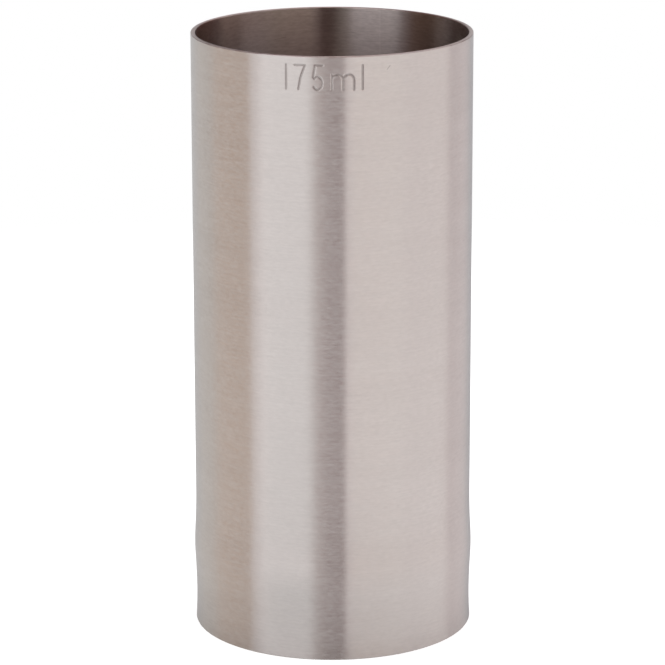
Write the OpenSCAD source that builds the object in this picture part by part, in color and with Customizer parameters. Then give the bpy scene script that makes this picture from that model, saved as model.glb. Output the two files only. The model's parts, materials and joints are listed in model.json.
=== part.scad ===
// Thimble measure: a steel tube with a floor set into it, filled to the rim to portion a drink.
// The tube is cut square at both ends and opened out a little at the foot, and the floor disc is
// pressed up into it from below. The disc is wider than the bore, so the thin wall springs out in
// a low band round it and settles again on both sides. A weld bead under the disc seals it in.
// The origin is the centre of the circle that the foot stands on, and +Z points to the rim.

/* [Tube] */
// Outside diameter of the straight part of the tube
tube_d = 50.2; // [44:0.2:60]
// Thickness of the tube's wall
tube_wall = 0.8; // [0.6:0.05:1.4]
// Radius that takes the sharpness off the edges of the rim and the foot
edge_break = 0.15; // [0.05:0.01:0.25]

/* [Measure] */
// Depth from the rim down to the floor, which with the bore sets what the measure holds
measure_depth = 94.25; // [60:0.05:120]

/* [Floor] */
// Thickness of the floor disc
floor_t = 1.2; // [0.9:0.1:2.4]
// How far the disc springs the wall outwards, on the radius
seat_rise = 0.3; // [0.1:0.02:0.5]
// Radius of the disc's upper edge
floor_edge = 0.2; // [0.1:0.02:0.4]

/* [Foot] */
// Height of the hollow between the surface that the measure stands on and the disc
foot_recess = 13.75; // [9:0.05:24]
// How far the foot is opened out on the radius, as a lead for the disc
foot_flare = 0.18; // [0.04:0.02:0.4]
// Height over which the foot opens out
flare_h = 5.5; // [3:0.5:8]

/* [Weld] */
// Bevel on the disc's lower edge that the weld fills
weld_prep = 0.3; // [0.1:0.05:0.45]
// Leg of the weld bead, along the floor and down the wall
weld_leg = 1.1; // [0.7:0.1:2]
// How far the bead's face stands out past a flat fillet
weld_crown = 0.15; // [0.05:0.05:0.3]

/* [Hidden] */
$fn = 120;

tube_r = tube_d / 2;
bore_r = tube_r - tube_wall;

// The disc: its faces, its radius, and the land of its edge that bears on the wall
floor_under = foot_recess;
floor_top = floor_under + floor_t;
floor_r = bore_r + seat_rise;
land_low = floor_under + weld_prep;
land_high = floor_top - floor_edge;

// Height of the tube from its foot to its rim
tube_h = floor_top + measure_depth;

// A thin steel tube pressed out along a ring comes back over a length that goes with the root of
// its radius times its wall, and it lies straight again after 7/4 of a half turn of the wave
spring_share = 0.778;
spring_l = spring_share * sqrt(tube_r * tube_wall);
settle_share = 7 / 4 * PI;
wall_settled = land_high + spring_l * settle_share;

// Steps along the curved wall below and above the disc, and round an edge
steps_below = 26;
steps_above = 36;
steps_round = 6;

// How much the pressed-in disc moves the wall out at height z
function swell(z) =
    let (turn = max(land_low - z, z - land_high, 0) / spring_l, angle = turn * 180 / PI)
    seat_rise * exp(-turn) * (cos(angle) + sin(angle));

// How much the foot is opened out at height z
function flare(z) = foot_flare * pow(max(1 - z / flare_h, 0), 2);

// Radius of a face of the wall at height z, from its radius on the straight part
function wall_at(r, z) = r + swell(z) + flare(z);

// Points round an edge of radius r about centre c
function rounded(c, r, from, to) =
    [for (i = [0:steps_round])
        let (angle = from + (to - from) * i / steps_round)
        c + r * [cos(angle), sin(angle)]];

// Points of an arc from a to b that stands out by rise on the right of that line
function bulged(a, b, rise) =
    let (half = norm(b - a) / 2,
         r = (half * half + rise * rise) / (2 * rise),
         along = (b - a) / (2 * half),
         out = [along.y, -along.x],
         centre = (a + b) / 2 + out * (rise - r),
         sweep = asin(half / r))
    [for (i = [0:steps_round])
        let (angle = sweep * (2 * i / steps_round - 1))
        centre + r * (along * sin(angle) + out * cos(angle))];

// Heights along the wall where its outline has a point, from the foot's edge to the straight part
wall_heights = concat(
    [for (i = [1:steps_below]) edge_break + (land_low - edge_break) * i / steps_below],
    [for (i = [0:steps_above]) land_high + (wall_settled - land_high) * i / steps_above]);

// What the measure holds to its rim, in cubic millimetres over those in a millilitre
brim_ml = PI * bore_r * (bore_r * measure_depth + 2 * seat_rise * spring_l) / 1000;
echo(brim_ml = brim_ml);

// Half section of the tube: foot, outer face, rim and inner face
module tube_section() {
    foot_out = wall_at(tube_r, edge_break) - edge_break;
    foot_in = wall_at(bore_r, edge_break) + edge_break;
    last = len(wall_heights) - 1;
    polygon(concat(
        rounded([foot_out, edge_break], edge_break, -90, 0),
        [for (z = wall_heights) [wall_at(tube_r, z), z]],
        rounded([tube_r - edge_break, tube_h - edge_break], edge_break, 0, 90),
        rounded([bore_r + edge_break, tube_h - edge_break], edge_break, 90, 180),
        [for (i = [last:-1:0]) let (z = wall_heights[i]) [wall_at(bore_r, z), z]],
        rounded([foot_in, edge_break], edge_break, 180, 270)));
}

// Half section of the disc: bevelled below for the weld and rounded above
module floor_section() {
    polygon(concat(
        [[0, floor_under], [floor_r - weld_prep, floor_under], [floor_r, land_low]],
        rounded([floor_r - floor_edge, land_high], floor_edge, 0, 90),
        [[0, floor_top]]));
}

// Half section of the bead: a crowned fillet that runs on into the disc and the wall, which the
// difference in weld_bead() takes off again so that it meets both face to face
module weld_section() {
    wall_end = floor_under - weld_leg;
    inside_wall = floor_r + tube_wall / 2;
    polygon(concat(
        bulged([floor_r - weld_leg, floor_under], [wall_at(bore_r, wall_end), wall_end], weld_crown),
        [[inside_wall, wall_end], [inside_wall, land_low], [floor_r - weld_leg, land_low]]));
}

module body_tube() {
    color([0.78, 0.75, 0.73])
        rotate_extrude() tube_section();
}

module floor_disc() {
    color([0.74, 0.72, 0.70])
        rotate_extrude() floor_section();
}

module weld_bead() {
    color([0.62, 0.58, 0.55])
        rotate_extrude()
            difference() {
                weld_section();
                tube_section();
                floor_section();
            }
}

body_tube();
floor_disc();
weld_bead();
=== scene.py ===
"""Dresses a stainless steel thimble measure and stands it in a small white studio.

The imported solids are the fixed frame. The tube is turned again from the same outline, fine enough to carry
its stamped capacity mark, the weld bead gets its ripples, and each piece gets its brushed steel.
Lengths are in metres, +Z points to the rim, and -Y faces the camera.
"""
import json
import math

import bpy
from bpy.props import FloatProperty, FloatVectorProperty, IntProperty, PointerProperty
from mathutils import Matrix, Vector


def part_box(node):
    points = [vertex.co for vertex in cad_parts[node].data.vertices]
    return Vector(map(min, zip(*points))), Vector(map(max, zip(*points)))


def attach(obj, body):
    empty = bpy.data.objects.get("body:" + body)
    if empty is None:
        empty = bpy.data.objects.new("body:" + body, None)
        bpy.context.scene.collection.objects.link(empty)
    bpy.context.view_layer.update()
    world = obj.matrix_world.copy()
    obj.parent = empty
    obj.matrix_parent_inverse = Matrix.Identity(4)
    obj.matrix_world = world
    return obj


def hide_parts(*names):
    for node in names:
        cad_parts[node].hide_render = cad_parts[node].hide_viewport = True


bl_info = {
    "name": "Thimble Measure",
    "version": (1, 0, 0),
    "blender": (4, 5, 0),
    "location": "View3D > Sidebar > Measure",
    "description": "Builds a stamped steel thimble measure and the studio that shows it",
    "category": "Add Mesh",
}

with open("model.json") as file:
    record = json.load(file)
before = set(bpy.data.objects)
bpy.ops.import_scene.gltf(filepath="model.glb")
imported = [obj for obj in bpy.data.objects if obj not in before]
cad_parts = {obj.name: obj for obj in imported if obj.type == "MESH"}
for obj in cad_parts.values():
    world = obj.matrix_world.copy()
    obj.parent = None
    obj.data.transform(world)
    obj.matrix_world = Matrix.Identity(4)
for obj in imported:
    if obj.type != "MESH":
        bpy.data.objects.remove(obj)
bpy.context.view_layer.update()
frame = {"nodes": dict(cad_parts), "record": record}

MM = 0.001
FULL_TURN = 2 * math.pi
BLACK = (0.0, 0.0, 0.0, 1.0)
WHITE = (1.0, 1.0, 1.0, 1.0)


def mount(name):
    """One of the part's stated interfaces."""
    return next(m for m in frame["record"]["mounts"] if m["name"] == name)


# Sizes that the solids already hold
TUBE_R = mount("barrel")["dims"]["r_mm"] * MM
TUBE_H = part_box("body_tube")[1].z
SEAT_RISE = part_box("body_tube")[1].x - TUBE_R
FLOOR_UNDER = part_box("floor_disc")[0].z
FLOOR_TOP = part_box("floor_disc")[1].z
FLOOR_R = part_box("floor_disc")[1].x
BORE_R = FLOOR_R - SEAT_RISE
WELD_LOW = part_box("weld_bead")[0].z


def length(name, default, description):
    return FloatProperty(name=name, default=default, description=description, unit="LENGTH", precision=5)


def angle(name, degrees, description):
    return FloatProperty(name=name, default=math.radians(degrees), description=description, subtype="ANGLE")


def amount(name, default, description):
    return FloatProperty(name=name, default=default, description=description, min=0)


def colour(name, default, description):
    return FloatVectorProperty(name=name, default=default, description=description, subtype="COLOR", size=3)


class MeasureSizes(bpy.types.PropertyGroup):
    """Sizes of the measure's own pieces."""

    tube_r: length("Tube Radius", TUBE_R, "Outside radius of the straight wall")
    bore_r: length("Bore Radius", BORE_R, "Inside radius of the straight wall")
    tube_h: length("Height", TUBE_H, "From the foot to the rim")
    edge_break: length("Edge Break", 0.15 * MM, "Radius on the edges of the rim and the foot")
    floor_top: length("Floor Top", FLOOR_TOP, "Height of the floor's upper face")
    floor_under: length("Floor Underside", FLOOR_UNDER, "Height of the floor's lower face")
    floor_edge: length("Floor Edge", 0.2 * MM, "Radius of the floor's upper edge")
    seat_rise: length("Seat Rise", SEAT_RISE, "How far the floor springs the wall out")
    spring_share: amount("Spring Share", 0.778, "Share of the root of radius times wall in a settling wave")
    foot_flare: length("Foot Flare", 0.18 * MM, "How far the foot is opened out on the radius")
    flare_h: length("Flare Height", 5.5 * MM, "Height over which the foot opens out")
    weld_prep: length("Weld Bevel", 0.3 * MM, "Bevel on the floor's lower edge")
    weld_leg: length("Weld Leg", FLOOR_UNDER - WELD_LOW, "How far the bead runs down and in")
    weld_crown: length("Weld Crown", 0.15 * MM, "How far the bead stands out past a flat fillet")
    columns: IntProperty(name="Columns", default=190, min=3, description="Mesh columns round the plain wall")
    ripples: IntProperty(name="Ripples", default=230, min=1, description="Ripples round the weld bead")
    ripple_h: length("Ripple Height", 0.05 * MM, "How far a ripple stands out")
    waviness: length("Waviness", 0.012 * MM, "Range in which the drawn wall strays from a true cylinder")
    waviness_span: length("Waviness Span", 22 * MM, "Distance over which the wall strays")


class MarkSizes(bpy.types.PropertyGroup):
    """The capacity mark, pressed in with single-stroke punches."""

    cap_h: length("Figure Height", 4.2 * MM, "Height of the figures")
    small_h: length("Letter Height", 2.65 * MM, "Height of the small letter")
    below_rim: length("Below Rim", 1.52 * MM, "From the rim down to the top of the figures")
    stroke: length("Stroke Width", 0.56 * MM, "Width of a pressed line")
    depth: length("Depth", 0.055 * MM, "Depth of a pressed line")
    cell: length("Cell", 0.09 * MM, "Side of the mesh's cells round the mark")
    margin: length("Margin", 0.45 * MM, "Fine mesh past the ends of the mark")


class SteelFinish(bpy.types.PropertyGroup):
    """Colour and finish of the steel."""

    tint: colour("Steel", (0.55, 0.525, 0.51), "Colour of the brushed steel")
    cloud_share: amount("Cloud Share", 0.35, "How much the slow clouds in the steel's tone show")
    cloud_tone: amount("Cloud Tone", 0.97, "Tone of those clouds, as a share of the steel's")
    roughness: amount("Roughness", 0.3, "Roughness of the brushed wall")
    roughness_drift: amount("Roughness Drift", 0.012, "How far the roughness strays along the brush lines")
    line_scatter: amount("Line Scatter", 0.37, "Share of the light that the deepest brush lines scatter")
    line_tone: amount("Line Tone", 0.06, "How much the tone of the brush lines varies outside")
    bore_line_tone: amount("Bore Line Tone", 0.16, "The same inside, where the lines scatter nothing")
    brushing: amount("Brushing", 0.97, "How much rougher the steel is across the brush lines")
    line_length: length("Line Length", 1.1 * MM, "Length of the fine brush lines")
    line_height: length("Line Height", 0.34 * MM, "Height of the fine brush lines")
    line_depth: length("Line Depth", 0.0004 * MM, "Depth of the fine brush lines")
    floor_roughness: amount("Floor Roughness", 0.36, "Roughness of the floor disc")
    floor_brushing: amount("Floor Brushing", 0.5, "How much rougher the floor disc is across its lines")
    mark_tone: amount("Mark Tone", 0.77, "Tone of the pressed lines, as a share of the steel's")
    mark_roughness: amount("Mark Roughness", 0.43, "Roughness of the pressed lines")
    scratch_width: length("Scratch Width", 0.26 * MM, "Width of a single scratch")
    seam_angle: angle("Seam", 158, "Where the tube's own weld line runs, round from the mark")
    seam_width: length("Seam Width", 0.22 * MM, "Width of the tube's own weld line")
    seam_share: amount("Seam Share", 0.04, "How much that line shows")
    seam_tone: amount("Seam Tone", 0.3, "Tone of that line, as a share of the steel's")
    lip_share: amount("Lip Share", 0.07, "How much the lip beside that line shows")
    lip_tint: colour("Lip", (0.85, 0.84, 0.83), "Colour of the lip beside that line")
    weld_tint: colour("Weld", (0.52, 0.47, 0.42), "Colour of the weld bead")
    weld_heat: colour("Weld Heat", (0.44, 0.42, 0.44), "Heat tint in the weld bead")
    weld_roughness: amount("Weld Roughness", 0.32, "Roughness of the weld bead where it is smoothest")
    weld_dull: amount("Weld Dullness", 0.45, "Roughness of the weld bead where it is dullest")
    weld_cloud: length("Weld Clouds", 3 * MM, "Distance over which the heat tint changes")
    weld_depth: length("Weld Grain Depth", 0.003 * MM, "Depth of the fine grain of the weld bead")


class StudioSettings(bpy.types.PropertyGroup):
    """Camera and studio, as the measure is photographed."""

    camera_back: length("Camera Distance", 608.4 * MM, "From the axis to the camera")
    camera_up: length("Camera Height", 218.6 * MM, "From the floor to the camera")
    camera_tilt: angle("Camera Tilt", 15.16, "How far the camera looks down")
    camera_turn: angle("Camera Turn", 0.0, "How far the camera looks off the axis")
    camera_roll: angle("Camera Roll", -0.1, "How far the camera leans")
    lens: FloatProperty(name="Lens", default=188.0, min=1, description="Focal length", unit="CAMERA")
    clip_start: length("Clip Start", 0.01, "Nearest distance that the camera sees")
    floor_r: length("Floor Radius", 0.32, "Radius of the pale floor")
    floor_fade: amount("Floor Fade", 0.85, "Share of the radius at which the floor starts to fade out")
    floor_colour: colour("Floor", (0.95, 0.95, 0.95), "Colour of the pale floor")
    shade: amount("Shade", 0.5, "How much darker the steel sees the floor in front of the foot")
    shade_ahead: length("Shade Ahead", 22 * MM, "How far that shade's middle lies in front of the axis")
    shade_left: length("Shade Left", 4 * MM, "How far that shade's middle lies to the left of the axis")
    shade_r: length("Shade Radius", 55 * MM, "From there to where the shade ends")
    floor_white: amount("Floor White", 0.45, "White that the camera sees on the floor")


# Node trees


class Tree:
    """Adds nodes to a tree, and links or sets each input by its name."""

    def __init__(self, tree):
        self.tree = tree

    def add(self, kind, inputs=None, **settings):
        node = self.tree.nodes.new(kind)
        for name, value in settings.items():
            setattr(node, name, value)
        for name, value in (inputs or {}).items():
            self.give(node.inputs[name], value)
        return node

    def give(self, socket, value):
        if isinstance(value, bpy.types.NodeSocket):
            self.tree.links.new(value, socket)
        else:
            socket.default_value = value

    def math(self, operation, *values):
        node = self.add("ShaderNodeMath", operation=operation)
        for socket, value in zip(node.inputs, values):
            self.give(socket, value)
        return node.outputs[0]

    def vector(self, operation, *values, out="Vector"):
        node = self.add("ShaderNodeVectorMath", operation=operation)
        for socket, value in zip(node.inputs, values):
            self.give(socket, value)
        return node.outputs[out]

    def scaled(self, vector, times):
        """A vector made longer or shorter."""
        node = self.add("ShaderNodeVectorMath", {"Vector": vector, "Scale": times}, operation="SCALE")
        return node.outputs["Vector"]

    def xyz(self, x, y, z):
        return self.add("ShaderNodeCombineXYZ", {"X": x, "Y": y, "Z": z}).outputs[0]

    def split(self, vector):
        return self.add("ShaderNodeSeparateXYZ", {"Vector": vector}).outputs

    def off_axis(self, place):
        """Distance from the Z axis."""
        x, y, _ = self.split(place)
        return self.vector("LENGTH", self.xyz(x, y, 0.0), out="Value")

    def turn(self, place):
        """Angle round the Z axis, from -Y towards +X."""
        x, y, _ = self.split(place)
        return self.math("ARCTAN2", x, self.math("MULTIPLY", y, -1.0))

    def between(self, value, low, high, to_low=0.0, to_high=1.0, smooth=False):
        """Carries value from low..high to to_low..to_high, and holds it there outside."""
        node = self.add("ShaderNodeMapRange", interpolation_type="SMOOTHSTEP" if smooth else "LINEAR")
        for socket, number in zip(node.inputs, (value, low, high, to_low, to_high)):
            self.give(socket, number)
        return node.outputs[0]

    def blend(self, factor, a, b):
        """Mixes two colours."""
        node = self.add("ShaderNodeMix", data_type="RGBA")
        for index, value in ((0, factor), (6, a), (7, b)):
            self.give(node.inputs[index], value)
        return node.outputs[2]


def new_group(name, kind, inputs, outputs):
    """A node group with named sockets, each given as name: (socket type, default)."""
    group = bpy.data.node_groups.new(name, kind)
    for side, sockets in (("INPUT", inputs), ("OUTPUT", outputs)):
        for label, (socket_type, default) in sockets.items():
            socket = group.interface.new_socket(label, in_out=side, socket_type="NodeSocket" + socket_type)
            if default is not None:
                socket.default_value = default
    tree = Tree(group)
    return tree, tree.add("NodeGroupInput").outputs, tree.add("NodeGroupOutput").inputs


# The one input and output that every shape tree has
SHAPE = {"Geometry": ("Geometry", None)}


def turning_tree():
    """Turns an outline, drawn as a line in X and Z, once round the Z axis."""
    tree, given, result = new_group(
        "Turned Shape",
        "GeometryNodeTree",
        {
            **SHAPE,
            "Columns": ("Int", 200),
            "Fine Columns": ("Int", 1),
            "Fine From": ("Float", 0.0),
            "Fine To": ("Float", 0.005),
            "Join": ("Float", 0.001 * MM),
            "Material": ("Material", None),
        },
        SHAPE,
    )
    outline = given["Geometry"]
    rows = tree.add("GeometryNodeAttributeDomainSize", {"Geometry": outline}).outputs["Point Count"]
    all_columns = tree.math("ADD", given["Columns"], given["Fine Columns"])
    corners = {"Vertices X": tree.math("ADD", all_columns, 1.0), "Vertices Y": rows}
    sheet = tree.add("GeometryNodeMeshGrid", corners)
    index = tree.add("GeometryNodeInputIndex").outputs[0]
    column = tree.math("FLOOR", tree.math("DIVIDE", index, rows))
    row = tree.math("SUBTRACT", index, tree.math("MULTIPLY", column, rows))
    place = tree.add(
        "GeometryNodeSampleIndex",
        {"Geometry": outline, "Value": tree.add("GeometryNodeInputPosition").outputs[0], "Index": row},
        data_type="FLOAT_VECTOR",
    )
    radius, _, height = tree.split(place.outputs[0])
    fine_turn = tree.math("SUBTRACT", given["Fine To"], given["Fine From"])
    fine_angle = tree.between(column, 0.0, given["Fine Columns"], given["Fine From"], given["Fine To"])
    coarse_turn = tree.math("SUBTRACT", FULL_TURN, fine_turn)
    coarse_angle = tree.between(column, given["Fine Columns"], all_columns, 0.0, coarse_turn)
    around = tree.math("ADD", fine_angle, coarse_angle)
    turned = tree.xyz(
        tree.math("MULTIPLY", radius, tree.math("SINE", around)),
        tree.math("MULTIPLY", tree.math("MULTIPLY", radius, tree.math("COSINE", around)), -1.0),
        height,
    )
    shape = tree.add("GeometryNodeSetPosition", {"Geometry": sheet.outputs["Mesh"], "Position": turned})
    shape = tree.add("GeometryNodeMergeByDistance", {"Geometry": shape.outputs[0], "Distance": given["Join"]})
    finish_tree(tree, shape.outputs[0], given["Material"], result)
    return tree.tree


def finish_tree(tree, shape, material, result):
    """The end that every shape tree has: one smooth mesh in its own material."""
    shape = tree.add("GeometryNodeRealizeInstances", {"Geometry": shape}).outputs[0]
    shape = tree.add("GeometryNodeSetShadeSmooth", {"Geometry": shape}).outputs[0]
    shape = tree.add("GeometryNodeSetMaterial", {"Geometry": shape, "Material": material}).outputs[0]
    tree.give(result["Geometry"], shape)


def radial(tree, position):
    """The direction straight away from the Z axis."""
    x, y, _ = tree.split(position)
    return tree.vector("NORMALIZE", tree.xyz(x, y, 0.0))


def stamping_tree():
    """Presses another object's lines into a wall, towards the Z axis, and lets the wall stray a little."""
    tree, given, result = new_group(
        "Stamped Wall",
        "GeometryNodeTree",
        {
            **SHAPE,
            "Lines": ("Object", None),
            "Stroke Width": ("Float", 0.5 * MM),
            "Depth": ("Float", 0.1 * MM),
            "Waviness": ("Float", 0.0),
            "Waviness Span": ("Float", 20 * MM),
            "Material": ("Material", None),
        },
        SHAPE,
    )
    lines = tree.add("GeometryNodeObjectInfo", {"Object": given["Lines"]}).outputs["Geometry"]
    position = tree.add("GeometryNodeInputPosition").outputs[0]
    near = tree.add("GeometryNodeProximity", {"Geometry": lines}, target_element="EDGES").outputs["Distance"]
    half = tree.math("DIVIDE", given["Stroke Width"], 2.0)
    share = tree.between(near, 0.0, half, 1.0, 0.0, smooth=True)
    pressed = tree.math("MULTIPLY", share, given["Depth"])
    slow = tree.scaled(position, tree.math("DIVIDE", 1.0, given["Waviness Span"]))
    noise = tree.add("ShaderNodeTexNoise", {"Vector": slow, "Scale": 1.0, "Detail": 1.0}).outputs[0]
    stray = tree.math("MULTIPLY", tree.math("SUBTRACT", noise, 0.5), given["Waviness"])
    offset = tree.scaled(radial(tree, position), tree.math("SUBTRACT", stray, pressed))
    kept = {"Geometry": given["Geometry"], "Name": "pressed", "Value": share}
    shape = tree.add("GeometryNodeStoreNamedAttribute", kept, data_type="FLOAT", domain="POINT")
    shape = tree.add("GeometryNodeSetPosition", {"Geometry": shape.outputs[0], "Offset": offset})
    finish_tree(tree, shape.outputs[0], given["Material"], result)
    return tree.tree


def rippling_tree():
    """Raises the ripples of a hand-fed weld on the free face of a bead that runs round the Z axis."""
    tree, given, result = new_group(
        "Weld Ripples",
        "GeometryNodeTree",
        {
            **SHAPE,
            "Ripples": ("Int", 100),
            "Ripple Height": ("Float", 0.05 * MM),
            "Inner Radius": ("Float", 23 * MM),
            "Outer Radius": ("Float", 24 * MM),
            "Free Below": ("Float", 14 * MM),
            "Lag": ("Float", 2.2),
            "Unevenness": ("Float", 400.0),
            "Material": ("Material", None),
        },
        SHAPE,
    )
    position = tree.add("GeometryNodeInputPosition").outputs[0]
    x, y, z = tree.split(position)
    across = tree.between(tree.off_axis(position), given["Inner Radius"], given["Outer Radius"], -1.0, 1.0)
    square = tree.math("MULTIPLY", across, across)
    around = tree.math("ARCTAN2", x, y)
    phase = tree.math(
        "SUBTRACT",
        tree.math("MULTIPLY", around, tree.math("DIVIDE", given["Ripples"], 2.0)),
        tree.math("MULTIPLY", square, given["Lag"]),
    )
    ripple = tree.math("SUBTRACT", 1.0, tree.math("ABSOLUTE", tree.math("SINE", phase)))
    blotches = {"Vector": position, "Scale": given["Unevenness"], "Detail": 1.0}
    uneven = tree.add("ShaderNodeTexNoise", blotches).outputs[0]
    free = tree.math("LESS_THAN", z, given["Free Below"])
    height = tree.math("MULTIPLY", tree.math("MULTIPLY", ripple, uneven), given["Ripple Height"])
    height = tree.math("MULTIPLY", height, tree.math("MULTIPLY", free, tree.math("SUBTRACT", 1.0, square)))
    down_and_in = tree.vector("NORMALIZE", tree.vector("SUBTRACT", (0.0, 0.0, -1.0), radial(tree, position)))
    offset = tree.scaled(down_and_in, height)
    shape = tree.add("GeometryNodeSetPosition", {"Geometry": given["Geometry"], "Offset": offset})
    finish_tree(tree, shape.outputs[0], given["Material"], result)
    return tree.tree


def line_object(name, strokes):
    """An object whose mesh holds each stroke's points, joined in order by edges."""
    points, edges = [], []
    for stroke in strokes:
        first = len(points)
        points += stroke
        edges += [(first + i, first + i + 1) for i in range(len(stroke) - 1)]
    mesh = bpy.data.meshes.new(name)
    mesh.from_pydata(points, edges, [])
    made = bpy.data.objects.new(name, mesh)
    bpy.context.scene.collection.objects.link(made)
    return made


def add_tree(made, tree, **values):
    """Puts a shape tree on an object. Its inputs are set by their identifiers."""
    modifier = made.modifiers.new(tree.name, "NODES")
    modifier.node_group = tree
    for item in tree.interface.items_tree:
        key = item.name.lower().replace(" ", "_")
        if item.in_out == "INPUT" and key in values:
            modifier[item.identifier] = values[key]


def to_plain_mesh(made):
    """Keeps what an object's shape trees make, as a plain mesh with no modifier."""
    evaluated = made.evaluated_get(bpy.context.evaluated_depsgraph_get())
    mesh = bpy.data.meshes.new_from_object(evaluated)
    mesh.name = made.name
    made.modifiers.clear()
    made.data = mesh


# Outlines, as points of radius and height

# The wave of the sprung wall, in radians, after which the wall lies straight again
SETTLED_TURN = 1.75 * math.pi
# Steps along the sprung wall, the plain wall, the wall above the mark, and the bead's hidden face
SPRUNG_STEP = 0.75 * MM
PLAIN_STEP = 5 * MM
RIM_STEP = 1 * MM
HIDDEN_STEP = 0.3 * MM
# Steps round an edge and over the bead's crown
EDGE_STEPS = 6
CROWN_STEPS = 14
# Far less than a step, so that rounding adds none
TINY = 1e-6


def spring_length(s):
    """Length in which a tube that is pressed out along a ring turns its wave by one radian."""
    return s.spring_share * math.sqrt(s.tube_r * (s.tube_r - s.bore_r))


def swell(s, z):
    """How much the pressed-in floor moves the wall out at height z."""
    turn = max(land_low(s) - z, z - land_high(s), 0) / spring_length(s)
    return s.seat_rise * math.exp(-turn) * (math.cos(turn) + math.sin(turn))


def land_low(s):
    """Lower end of the floor's edge, which bears on the wall."""
    return s.floor_under + s.weld_prep


def land_high(s):
    """Upper end of the floor's edge."""
    return s.floor_top - s.floor_edge


def wall_at(s, r, z):
    """Radius of a face of the wall at height z, from its radius on the straight part."""
    return r + swell(s, z) + s.foot_flare * max(1 - z / s.flare_h, 0) ** 2


def spaced(low, high, step):
    """Even places from low up to but not at high, no further apart than step."""
    count = max(math.ceil((high - low) / step - TINY), 1)
    return [low + (high - low) * i / count for i in range(count)]


def rounded(r, z, radius, start, end, count=EDGE_STEPS):
    """An arc about (r, z), with its angles in degrees."""
    turns = [math.radians(start + (end - start) * i / count) for i in range(count + 1)]
    return [(r + radius * math.cos(a), z + radius * math.sin(a)) for a in turns]


def tube_outline(s, mark_low, mark_high, cell):
    """Foot, outer face, rim and inner face, and back to the start."""
    edge = s.edge_break
    # A row of points close to each edge keeps its shading off the flat faces
    guard = edge / 3
    settled = land_high(s) + SETTLED_TURN * spring_length(s)
    low = spaced(edge + guard, land_low(s), SPRUNG_STEP)
    spring = spaced(land_low(s), settled, SPRUNG_STEP)
    top = s.tube_h - edge - guard
    inner = low + spring + spaced(settled, top, PLAIN_STEP) + [top]
    outer = low + spring + spaced(settled, mark_low, PLAIN_STEP) + spaced(mark_low, mark_high, cell)
    outer += spaced(mark_high, top, RIM_STEP) + [top]
    foot_out = wall_at(s, s.tube_r, edge) - edge
    foot_in = wall_at(s, s.bore_r, edge) + edge
    outline = [(foot_out - guard, 0.0)] + rounded(foot_out, edge, edge, -90, 0)
    outline += [(wall_at(s, s.tube_r, z), z) for z in outer]
    outline += rounded(s.tube_r - edge, s.tube_h - edge, edge, 0, 90)
    outline += [(s.tube_r - edge - guard, s.tube_h), (s.bore_r + edge + guard, s.tube_h)]
    outline += rounded(s.bore_r + edge, s.tube_h - edge, edge, 90, 180)
    outline += [(wall_at(s, s.bore_r, z), z) for z in reversed(inner)]
    outline += rounded(foot_in, edge, edge, 180, 270)
    outline += [(foot_in + guard, 0.0)]
    return outline + outline[:1]


def bead_outline(s):
    """The weld's free face, then its hidden faces up the wall and along the floor's bevel."""
    floor_r = s.bore_r + s.seat_rise
    end_z = s.floor_under - s.weld_leg
    start = Vector((floor_r - s.weld_leg, s.floor_under))
    end = Vector((wall_at(s, s.bore_r, end_z), end_z))
    half = (end - start).length / 2
    radius = (half ** 2 + s.weld_crown ** 2) / (2 * s.weld_crown)
    along = (end - start).normalized()
    out = Vector((along.y, -along.x))
    centre = (start + end) / 2 + out * (s.weld_crown - radius)
    sweep = math.asin(half / radius)
    turns = [sweep * (2 * i / CROWN_STEPS - 1) for i in range(CROWN_STEPS + 1)]
    crown = [centre + radius * (along * math.sin(a) + out * math.cos(a)) for a in turns]
    wall = [(wall_at(s, s.bore_r, z), z) for z in spaced(end_z, land_low(s), HIDDEN_STEP)[1:]]
    hidden = wall + [(floor_r, land_low(s)), (floor_r - s.weld_prep, s.floor_under)]
    return [tuple(p) for p in crown] + hidden + [tuple(crown[0])]


# The capacity mark, in plain single strokes


def curve(cx, cy, rx, ry, start, end, count=14):
    """Points of an arc in a figure, with its angles in degrees."""
    turns = [math.radians(start + (end - start) * i / count) for i in range(count + 1)]
    return [(cx + rx * math.cos(a), cy + ry * math.sin(a)) for a in turns]


def figure(name, cap, small):
    """The strokes of one figure or letter about its own centre line, with cap and small its heights."""
    half = 0.22 * cap
    arch = 0.225 * cap
    bowl = 0.265 * cap
    if name in "1l":
        return [[(0, 0), (0, cap)]]
    if name == "7":
        return [[(-half, cap), (half, cap), (0.03 * cap, 0.5 * cap), (-0.06 * cap, 0)]]
    if name == "5":
        top = [(0.65 * half, cap), (-0.75 * half, cap), (-1.1 * half, 0.52 * cap)]
        return [top + curve(-0.28 * half, bowl, 0.185 * cap, bowl, 135, -145, 24)]
    if name == "m":
        stems = [[(x, 0), (x, small - arch)] for x in (-2 * arch, 0, 2 * arch)]
        arches = [curve(x, small - arch, arch, arch, 180, 0) for x in (-arch, arch)]
        return stems + arches + [[(-2 * arch, small - arch), (-2 * arch, small)]]
    raise ValueError(f"no strokes for {name!r}")


# Each figure of the mark, and the centre line that it stands on, in mm round the wall from the middle
MARK = (("1", -8.0), ("7", -5.55), ("5", -2.2), ("m", 1.85), ("l", 5.25))
# Steps along a stroke, short enough to lie on the round wall
STROKE_STEP = 0.3 * MM


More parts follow.
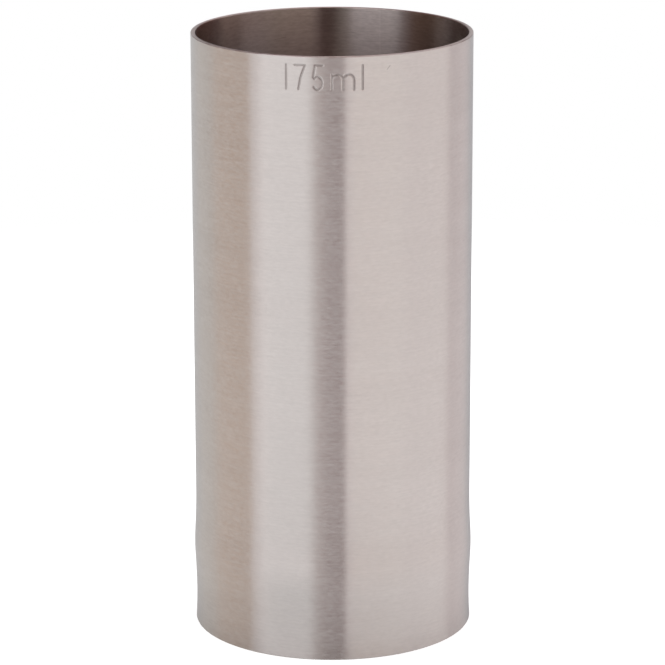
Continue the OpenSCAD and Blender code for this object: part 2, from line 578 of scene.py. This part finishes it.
def mark_strokes(s, m):
    """The mark's strokes on the outside of the wall."""
    base = s.tube_h - m.below_rim - m.cap_h
    strokes = []
    for name, centre in MARK:
        for stroke in figure(name, m.cap_h, m.small_h):
            fine = []
            for (u0, v0), (u1, v1) in zip(stroke, stroke[1:]):
                whole = max(math.hypot(u1 - u0, v1 - v0), m.cell)
                shares = [t / whole for t in spaced(0, whole, STROKE_STEP)]
                fine += [(u0 + (u1 - u0) * share, v0 + (v1 - v0) * share) for share in shares]
            fine.append(stroke[-1])
            turns = [((centre * MM + u) / s.tube_r, base + v) for u, v in fine]
            strokes.append([(s.tube_r * math.sin(a), -s.tube_r * math.cos(a), z) for a, z in turns])
    return strokes


# Materials

# Brush lines: how many times longer the long ones are, how much those count, and the range that is kept
LONG_TIMES = 6.0
LONG_SHARE = 0.6
LINE_RANGE = (0.15, 0.85)
# The slower unevenness of brush lines: how many times longer and higher than a line
BAND_LENGTHS = 40.0
BAND_HEIGHTS = 12.0
# The range of a slow noise that is kept
SLOW_RANGE = (0.3, 0.7)
# How far up the same brush lines are read again for their tone
ASIDE = 0.4
# The tube's weld line, in widths from its middle: where it starts to fade, where its lip lies, and where
# that starts to fade
SEAM_CORE = 0.3
LIP_AT = 1.6
LIP_CORE = 0.2
# How far off a face of the wall that face's scratches still count
SKIN = 0.2 * MM
# Share of a stroke's depth from which on it has the mark's whole darker tone and higher roughness
PRESSED_FULL = 0.5
# Anisotropy along the tangent that runs round the Z axis, as a share of a turn
ROUND_THE_AXIS = 0.25
# Single scratches: on the inside or not, how far round from the mark in degrees, mm below the rim, length in
# mm, degrees that it rises towards larger angles, and how much darker it is
SCRATCHES = (
    (False, 22.7, 2.2, 1.1, 50, 0.35),
    (True, 167.5, 4.5, 6.5, -3, 0.15),
    (True, 156.5, 6.0, 10.5, -3, 0.15),
    (True, -157.0, 5.4, 2.4, -8, 0.25),
)


def brush_lines_group():
    """Short level lines that a belt leaves: their height, and a slower unevenness of the same kind."""
    tree, given, result = new_group(
        "Brush Lines",
        "ShaderNodeTree",
        {"Vector": ("Vector", None), "Length": ("Float", 1.5 * MM), "Height": ("Float", 0.16 * MM)},
        {"Lines": ("Float", None), "Bands": ("Float", None)},
    )

    def stretched(lengths, heights, detail):
        across = tree.math("DIVIDE", 1 / lengths, given["Length"])
        up = tree.math("DIVIDE", 1 / heights, given["Height"])
        place = tree.vector("MULTIPLY", given["Vector"], tree.xyz(across, across, up))
        noise = tree.add("ShaderNodeTexNoise", {"Vector": place, "Scale": 1.0, "Detail": detail})
        return noise.outputs["Fac"]

    fine = stretched(1.0, 1.0, 1.0)
    long = stretched(LONG_TIMES, 1.0, 1.0)
    lines = tree.math("MULTIPLY_ADD", tree.math("SUBTRACT", long, 0.5), LONG_SHARE, fine)
    tree.give(result["Lines"], tree.between(lines, *LINE_RANGE))
    tree.give(result["Bands"], tree.between(stretched(BAND_LENGTHS, BAND_HEIGHTS, 2.0), *SLOW_RANGE))
    return tree.tree


def cloud_group():
    """Slow, cloudy unevenness, from 0 to 1."""
    tree, given, result = new_group(
        "Clouds",
        "ShaderNodeTree",
        {"Vector": ("Vector", None), "Size": ("Float", 18 * MM)},
        {"Cloud": ("Float", None)},
    )
    place = tree.scaled(given["Vector"], tree.math("DIVIDE", 1.0, given["Size"]))
    noise = tree.add("ShaderNodeTexNoise", {"Vector": place, "Scale": 1.0, "Detail": 3.0})
    tree.give(result["Cloud"], tree.between(noise.outputs["Fac"], *SLOW_RANGE))
    return tree.tree


def seam_group():
    """The line of the weld that closes the tube, at one angle round the Z axis, and the lip beside it."""
    tree, given, result = new_group(
        "Tube Seam",
        "ShaderNodeTree",
        {
            "Vector": ("Vector", None),
            "Angle": ("Float", 0.0),
            "Width": ("Float", 0.2 * MM),
            "Radius": ("Float", 25 * MM),
        },
        {"Seam": ("Float", None), "Lip": ("Float", None)},
    )
    turn = tree.math("SUBTRACT", tree.turn(given["Vector"]), given["Angle"])
    off = tree.math("DIVIDE", tree.math("MULTIPLY", turn, given["Radius"]), given["Width"])
    seam = tree.between(tree.math("ABSOLUTE", off), SEAM_CORE, 1.0, 1.0, 0.0, smooth=True)
    tree.give(result["Seam"], seam)
    off_lip = tree.math("ABSOLUTE", tree.math("SUBTRACT", off, LIP_AT))
    tree.give(result["Lip"], tree.between(off_lip, LIP_CORE, 1.0, 1.0, 0.0, smooth=True))
    return tree.tree


def scratch_group():
    """One straight scratch on a wall that runs round the Z axis, as a share from 0 to 1."""
    tree, given, result = new_group(
        "Scratch",
        "ShaderNodeTree",
        {
            "Vector": ("Vector", None),
            "Angle": ("Float", 0.0),
            "Height": ("Float", 0.1),
            "Rise": ("Float", 0.0),
            "Length": ("Float", 2 * MM),
            "Width": ("Float", 0.2 * MM),
            "Radius": ("Float", 25 * MM),
        },
        {"Scratch": ("Float", None)},
    )
    turn = tree.math("SUBTRACT", tree.turn(given["Vector"]), given["Angle"])
    height = tree.math("SUBTRACT", tree.split(given["Vector"])[2], given["Height"])
    level = tree.xyz(tree.math("MULTIPLY", turn, given["Radius"]), height, 0.0)
    back = tree.math("MULTIPLY", given["Rise"], -1.0)
    lying = tree.add("ShaderNodeVectorRotate", {"Vector": level, "Angle": back}, rotation_type="Z_AXIS")
    along, across, _ = tree.split(lying.outputs[0])
    end = tree.math("DIVIDE", given["Length"], 2.0)
    side = tree.math("DIVIDE", given["Width"], 2.0)
    within = tree.between(tree.math("ABSOLUTE", along), tree.math("SUBTRACT", end, side), end, 1.0, 0.0)
    deep = tree.between(tree.math("ABSOLUTE", across), 0.0, side, 1.0, 0.0, smooth=True)
    face = tree.math("COMPARE", tree.off_axis(given["Vector"]), given["Radius"], SKIN)
    tree.give(result["Scratch"], tree.math("MULTIPLY", face, tree.math("MULTIPLY", within, deep)))
    return tree.tree


def shared_group(name):
    """A shader node group, built when it is first asked for."""
    makers = {
        "Brush Lines": brush_lines_group,
        "Clouds": cloud_group,
        "Tube Seam": seam_group,
        "Scratch": scratch_group,
    }
    return bpy.data.node_groups.get(name) or makers[name]()


def new_material(name):
    material = bpy.data.materials.new(name)
    material.use_nodes = True
    material.node_tree.nodes.clear()
    return material, Tree(material.node_tree)


def place_group(tree, name, inputs):
    """Places a shared group in a material, and gives its outputs."""
    node = tree.add("ShaderNodeGroup", node_tree=shared_group(name))
    for label, value in inputs.items():
        tree.give(node.inputs[label], value)
    return node.outputs


def shade(c, share=1.0):
    """A colour made darker or lighter, with its alpha."""
    return (c[0] * share, c[1] * share, c[2] * share, 1.0)


def seam_and_scratches(f, s, tree, place, tone):
    """The tone of the tube's steel, with the tube's own weld line and its single scratches in it."""
    weld = place_group(
        tree,
        "Tube Seam",
        {"Vector": place, "Angle": f.seam_angle, "Width": f.seam_width, "Radius": s.bore_r},
    )
    seam = tree.math("MULTIPLY", weld["Seam"], f.seam_share)
    tone = tree.blend(seam, tone, shade(f.tint, f.seam_tone))
    tone = tree.blend(tree.math("MULTIPLY", weld["Lip"], f.lip_share), tone, shade(f.lip_tint))
    for inside, degrees, below, long, rise, dark in SCRATCHES:
        scratch = place_group(
            tree,
            "Scratch",
            {
                "Vector": place,
                "Angle": math.radians(degrees),
                "Height": s.tube_h - below * MM,
                "Rise": math.radians(rise),
                "Length": long * MM,
                "Width": f.scratch_width,
                "Radius": s.bore_r if inside else s.tube_r,
            },
        )["Scratch"]
        tone = tree.blend(tree.math("MULTIPLY", scratch, dark), tone, BLACK)
    return tone


def brushed_steel(f, s, name, roughness, brushing, on_tube):
    """Steel brushed round the Z axis.

    The tube's outside scatters light in its lines, and the tube has its own weld line, scratches and mark.
    """
    material, tree = new_material(name)
    place = tree.add("ShaderNodeTexCoord").outputs["Object"]
    size = {"Length": f.line_length, "Height": f.line_height}
    brush = place_group(tree, "Brush Lines", {"Vector": place, **size})
    aside = tree.vector("ADD", place, (0.0, 0.0, ASIDE))
    stain = place_group(tree, "Brush Lines", {"Vector": aside, **size})["Lines"]
    cloud = place_group(tree, "Clouds", {"Vector": place})["Cloud"]
    contrast, mirrored = f.bore_line_tone, 1.0
    if on_tube:
        outside = tree.math("GREATER_THAN", tree.off_axis(place), (s.bore_r + s.tube_r) / 2)
        contrast = tree.between(outside, 0.0, 1.0, f.bore_line_tone, f.line_tone)
        scattered = tree.math("MULTIPLY", outside, tree.math("MULTIPLY", brush["Lines"], f.line_scatter))
        mirrored = tree.math("SUBTRACT", 1.0, scattered)
    lighter = tree.math("MULTIPLY_ADD", tree.math("SUBTRACT", stain, 0.5), contrast, 0.5)
    tone = tree.blend(lighter, BLACK, shade(f.tint, 2.0))
    tone = tree.blend(tree.math("MULTIPLY", cloud, f.cloud_share), tone, shade(f.tint, f.cloud_tone))
    drift = f.roughness_drift
    rough = tree.between(brush["Bands"], 0.0, 1.0, roughness - drift, roughness + drift)
    if on_tube:
        tone = seam_and_scratches(f, s, tree, place, tone)
        share = tree.add("ShaderNodeAttribute", attribute_name="pressed").outputs["Fac"]
        pressed = tree.between(share, 0.0, PRESSED_FULL, smooth=True)
        # The pressed lines are given a darker tone than the steel round them
        tone = tree.blend(pressed, tone, shade(f.tint, f.mark_tone))
        rough = tree.math("MULTIPLY_ADD", pressed, tree.math("SUBTRACT", f.mark_roughness, rough), rough)
    bump = tree.add("ShaderNodeBump", {"Strength": 1.0, "Distance": f.line_depth, "Height": brush["Lines"]})
    tangent = tree.add("ShaderNodeTangent", direction_type="RADIAL", axis="Z")
    steel = tree.add(
        "ShaderNodeBsdfPrincipled",
        {
            "Base Color": tone,
            "Metallic": mirrored,
            "Roughness": rough,
            "Anisotropic": brushing,
            "Anisotropic Rotation": ROUND_THE_AXIS,
            "Normal": bump.outputs[0],
            "Tangent": tangent.outputs[0],
        },
    )
    tree.add("ShaderNodeOutputMaterial", {"Surface": steel.outputs[0]})
    return material


# Fine grain of the weld bead, in lumps to the metre, and how much its depth counts
WELD_GRAIN = 9000.0
WELD_RELIEF = 0.5


def weld_metal(f):
    """Bare weld, a little rougher and heat-tinted in clouds."""
    material, tree = new_material("weld_steel")
    place = tree.add("ShaderNodeTexCoord").outputs["Object"]
    cloud = place_group(tree, "Clouds", {"Vector": place, "Size": f.weld_cloud})["Cloud"]
    grain = tree.add("ShaderNodeTexNoise", {"Vector": place, "Scale": WELD_GRAIN, "Detail": 2.0}).outputs[0]
    relief = {"Strength": WELD_RELIEF, "Distance": f.weld_depth, "Height": grain}
    steel = tree.add(
        "ShaderNodeBsdfPrincipled",
        {
            "Base Color": tree.blend(cloud, shade(f.weld_tint), shade(f.weld_heat)),
            "Metallic": 1.0,
            "Roughness": tree.between(cloud, 0.0, 1.0, f.weld_roughness, f.weld_dull),
            "Normal": tree.add("ShaderNodeBump", relief).outputs[0],
        },
    )
    tree.add("ShaderNodeOutputMaterial", {"Surface": steel.outputs[0]})
    return material


# The studio

# What lies and stands round the measure, as its steel sees it: a ring of the table, and above it two rings
# of cards and the ceiling. Each line of a ring has a name, the azimuth from which it runs on to the right,
# in degrees round from the camera, how soft its edge is there, and its colour.
TABLE = (
    ("behind_left", -200, 6, (0.7, 0.7, 0.7)),
    ("back_left", -145, 15, (0.9, 0.85, 0.8)),
    ("side_left", -114, 10, (0.95, 0.8, 0.7)),
    ("box_edge_left", -70.5, 1, (1.3, 1.25, 1.25)),
    ("box_left", -58, 5, (1.05, 1.05, 1.05)),
    ("front", -16, 6, (0.75, 0.65, 0.65)),
    ("front_edge", 5, 3, (0.6, 0.5, 0.5)),
    ("box_edge_right", 10.7, 0.7, (1.4, 1.3, 1.3)),
    ("box_right", 16, 4, (1.25, 1.2, 1.2)),
    ("back_right", 109.5, 1, (1.05, 0.95, 0.95)),
    ("behind_right", 147, 15, (0.57, 0.58, 0.6)),
)
LOW = (
    ("low_behind", -200, 6, (0.4, 0.35, 0.35)),
    ("low_back_left", -160, 5, (0.1, 0.05, 0.05)),
    ("low_side_left", -114, 10, (0.25, 0.15, 0.1)),
    ("low_box_edge", -70.5, 1, (0.6, 0.5, 0.5)),
    ("low_box_left", -60, 4, (1.9, 1.8, 1.8)),
    ("low_front_left", -16, 6, (0.5, 0.45, 0.4)),
    ("low_front", -6, 4, (0.0, 0.0, 0.0)),
    ("low_front_right", 10.7, 0.7, (0.6, 0.5, 0.45)),
    ("low_box_right", 16, 3, (0.95, 0.75, 0.6)),
    ("low_edge_right", 60, 10, (0.7, 0.45, 0.35)),
    ("low_back_right", 109.5, 1, (0.1, 0.0, 0.0)),
    ("low_behind_right", 160, 5, (0.55, 0.5, 0.5)),
)
HIGH = (
    ("high_back_left", -200, 6, (0.2, 0.1, 0.1)),
    ("high_box_edge", -70.5, 1, (0.65, 0.55, 0.6)),
    ("high_box_left", -60, 4, (0.55, 0.3, 0.3)),
    ("high_front_left", -16, 6, (0.65, 0.55, 0.5)),
    ("high_front", -6, 4, (0.4, 0.2, 0.15)),
    ("high_box_right", 16, 3, (0.55, 0.35, 0.4)),
    ("high_edge_right", 60, 10, (0.65, 0.6, 0.7)),
    ("high_back_right", 135, 6, (0.7, 0.5, 0.45)),
)
CEILING = (("ceiling", -200, 6, (0.85, 0.7, 0.7)),)
# Each ring above the table, after the elevation at which it starts, in degrees
RINGS = ((0, LOW), (25, HIGH), (65, CEILING))
# How soft a ring's lower edge is, in degrees
UP_SOFT = 4


def in_degrees(tree, radians):
    """An angle in degrees, for the rings' tables."""
    return tree.math("MULTIPLY", radians, math.degrees(1))


def ring_colour(tree, around, ring):
    """The colours of a ring, one after the other round the measure."""
    light = WHITE
    for name, left, soft, colour in ring:
        light = tree.blend(tree.between(around, left - soft, left + soft, smooth=True), light, (*colour, 1.0))
        light.node.name = name
    return light


def studio_world():
    """Plain white light from all round, where only the steel sees the table, the cards and the ceiling."""
    world = bpy.data.worlds.new("studio")
    world.use_nodes = True
    world.node_tree.nodes.clear()
    tree = Tree(world.node_tree)
    place = tree.add("ShaderNodeTexCoord").outputs["Generated"]
    around = in_degrees(tree, tree.turn(place))
    up = in_degrees(tree, tree.math("ARCSINE", tree.split(place)[2]))
    light = ring_colour(tree, around, TABLE)
    for low, ring in RINGS:
        above = tree.between(up, low - UP_SOFT, low + UP_SOFT, smooth=True)
        light = tree.blend(above, light, ring_colour(tree, around, ring))
    in_steel = tree.add("ShaderNodeLightPath").outputs["Is Glossy Ray"]
    seen = tree.blend(in_steel, WHITE, light)
    background = tree.add("ShaderNodeBackground", {"Color": seen, "Strength": 1.0})
    tree.add("ShaderNodeOutputWorld", {"Surface": background.outputs[0]})
    # Light that is sampled apart from the steel's own rays would not know that they are glossy
    world.cycles.sampling_method = "NONE"
    bpy.context.scene.world = world


def floor_material(t):
    """A pale floor that keeps the measure's shadow.

    A view from below passes through it, and the steel sees the world through it, shaded near the foot.
    """
    material, tree = new_material("pale_floor")
    place = tree.add("ShaderNodeTexCoord").outputs["Object"]
    path = tree.add("ShaderNodeLightPath").outputs
    paper = tree.add("ShaderNodeBsdfDiffuse", {"Color": shade(t.floor_colour)})
    glow = tree.math("MULTIPLY", path["Is Camera Ray"], t.floor_white)
    white = tree.add("ShaderNodeEmission", {"Color": WHITE, "Strength": glow})
    both = tree.add("ShaderNodeAddShader")
    tree.give(both.inputs[0], paper.outputs[0])
    tree.give(both.inputs[1], white.outputs[0])
    mirrored = tree.math("MAXIMUM", path["Is Glossy Ray"], path["Is Transmission Ray"])
    off_shade = tree.vector("DISTANCE", place, (-t.shade_left, -t.shade_ahead, 0.0), out="Value")
    darker = tree.math("MULTIPLY", mirrored, tree.between(off_shade, 0.0, t.shade_r, t.shade, 0.0))
    clear = tree.add("ShaderNodeBsdfTransparent", {"Color": tree.blend(darker, WHITE, BLACK)})
    below = tree.add("ShaderNodeNewGeometry").outputs["Backfacing"]
    away = tree.vector("LENGTH", place, out="Value")
    past = tree.between(away, t.floor_r * t.floor_fade, t.floor_r, smooth=True)
    open_floor = tree.math("MAXIMUM", mirrored, tree.math("MAXIMUM", below, past))
    surface = tree.add("ShaderNodeMixShader", {"Fac": open_floor})
    tree.give(surface.inputs[1], both.outputs[0])
    tree.give(surface.inputs[2], clear.outputs[0])
    tree.add("ShaderNodeOutputMaterial", {"Surface": surface.outputs[0]})
    # Only the camera sees the floor's white, so it isn't sampled as a lamp either
    material.cycles.emission_sampling = "NONE"
    return material


# Operators

# Mesh columns in each ripple of the weld bead
COLUMNS_PER_RIPPLE = 6
# Turn between two corners of the pale floor, in radians
FLOOR_TURN = 0.1


class MEASURE_OT_tube(bpy.types.Operator):
    """Turn the tube from its outline and stamp the capacity mark into it"""

    bl_idname = "measure.tube"
    bl_label = "Stamped Tube"

    def execute(self, context):
        scene = context.scene
        s, m, f = scene.measure_sizes, scene.measure_mark, scene.measure_finish
        strokes = mark_strokes(s, m)
        places = [p for stroke in strokes for p in stroke]
        reach = m.stroke / 2 + m.margin
        turns = [math.atan2(x, -y) for x, y, z in places]
        fine_from = min(turns) - reach / s.tube_r
        fine_to = max(turns) + reach / s.tube_r
        low = min(z for x, y, z in places) - reach
        high = max(z for x, y, z in places) + reach
        steel = brushed_steel(f, s, "tube_steel", f.roughness, f.brushing, True)
        outline = [(r, 0.0, z) for r, z in tube_outline(s, low, high, m.cell)]
        tube = line_object("tube_wall", [outline])
        lines = line_object("mark_lines", strokes)
        add_tree(
            tube,
            turning_tree(),
            columns=s.columns,
            fine_columns=round((fine_to - fine_from) * s.tube_r / m.cell),
            fine_from=fine_from,
            fine_to=fine_to,
            material=steel,
        )
        add_tree(
            tube,
            stamping_tree(),
            lines=lines,
            stroke_width=m.stroke,
            depth=m.depth,
            waviness=s.waviness,
            waviness_span=s.waviness_span,
            material=steel,
        )
        to_plain_mesh(tube)
        bpy.data.objects.remove(lines)
        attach(tube, "root")
        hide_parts("body_tube")
        return {"FINISHED"}


class MEASURE_OT_floor(bpy.types.Operator):
    """Give the pressed-in floor disc its satin steel"""

    bl_idname = "measure.floor"
    bl_label = "Floor Disc"

    def execute(self, context):
        s, f = context.scene.measure_sizes, context.scene.measure_finish
        disc = frame["nodes"]["floor_disc"]
        satin = brushed_steel(f, s, "floor_steel", f.floor_roughness, f.floor_brushing, False)
        disc.data.materials.clear()
        disc.data.materials.append(satin)
        return {"FINISHED"}


class MEASURE_OT_weld(bpy.types.Operator):
    """Turn the weld bead under the floor and raise its ripples"""

    bl_idname = "measure.weld"
    bl_label = "Weld Bead"

    def execute(self, context):
        s, f = context.scene.measure_sizes, context.scene.measure_finish
        metal = weld_metal(f)
        outline = bead_outline(s)
        bead = line_object("weld_ring", [[(r, 0.0, z) for r, z in outline]])
        add_tree(bead, turning_tree(), columns=s.ripples * COLUMNS_PER_RIPPLE, material=metal)
        add_tree(
            bead,
            rippling_tree(),
            ripples=s.ripples,
            ripple_height=s.ripple_h,
            inner_radius=outline[0][0],
            outer_radius=wall_at(s, s.bore_r, s.floor_under - s.weld_leg),
            free_below=s.floor_under,
            material=metal,
        )
        to_plain_mesh(bead)
        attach(bead, "root")
        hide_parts("weld_bead")
        return {"FINISHED"}


class MEASURE_OT_stage(bpy.types.Operator):
    """Lay the pale floor, light the studio and place the camera"""

    bl_idname = "measure.stage"
    bl_label = "Stage"

    def execute(self, context):
        t = context.scene.measure_studio
        turns = spaced(0, FULL_TURN, FLOOR_TURN)
        ring = [(t.floor_r * math.cos(a), t.floor_r * math.sin(a), 0.0) for a in turns]
        mesh = bpy.data.meshes.new("pale_floor")
        mesh.from_pydata(ring, [], [list(range(len(ring)))])
        mesh.materials.append(floor_material(t))
        floor = bpy.data.objects.new("pale_floor", mesh)
        context.scene.collection.objects.link(floor)
        studio_world()
        lens = bpy.data.cameras.new("camera")
        lens.lens = t.lens
        lens.clip_start = t.clip_start
        camera = bpy.data.objects.new("camera", lens)
        context.scene.collection.objects.link(camera)
        aim = Matrix.Rotation(t.camera_turn, 4, "Z") @ Matrix.Rotation(math.pi / 2 - t.camera_tilt, 4, "X")
        aim = aim @ Matrix.Rotation(t.camera_roll, 4, "Z")
        camera.matrix_world = Matrix.Translation((0, -t.camera_back, t.camera_up)) @ aim
        context.scene.camera = camera
        context.scene.view_settings.view_transform = "Standard"
        return {"FINISHED"}


class MEASURE_PT_panel(bpy.types.Panel):
    """Lists the pieces and the stage, in the order that they are made"""

    bl_idname = "MEASURE_PT_panel"
    bl_label = "Thimble Measure"
    bl_space_type = "VIEW_3D"
    bl_region_type = "UI"
    bl_category = "Measure"

    def draw(self, context):
        for operator in OPERATORS:
            self.layout.operator(operator.bl_idname)


OPERATORS = (MEASURE_OT_tube, MEASURE_OT_floor, MEASURE_OT_weld, MEASURE_OT_stage)
SETTINGS = {
    "measure_sizes": MeasureSizes,
    "measure_mark": MarkSizes,
    "measure_finish": SteelFinish,
    "measure_studio": StudioSettings,
}


def register():
    for cls in (*SETTINGS.values(), *OPERATORS, MEASURE_PT_panel):
        bpy.utils.register_class(cls)
    for name, group in SETTINGS.items():
        setattr(bpy.types.Scene, name, PointerProperty(type=group))


def unregister():
    for name in SETTINGS:
        delattr(bpy.types.Scene, name)
    for cls in (MEASURE_PT_panel, *reversed(OPERATORS), *SETTINGS.values()):
        bpy.utils.unregister_class(cls)


def main():
    register()
    bpy.ops.measure.tube()
    bpy.ops.measure.floor()
    bpy.ops.measure.weld()
    bpy.ops.measure.stage()


if __name__ == "__main__":
    main()
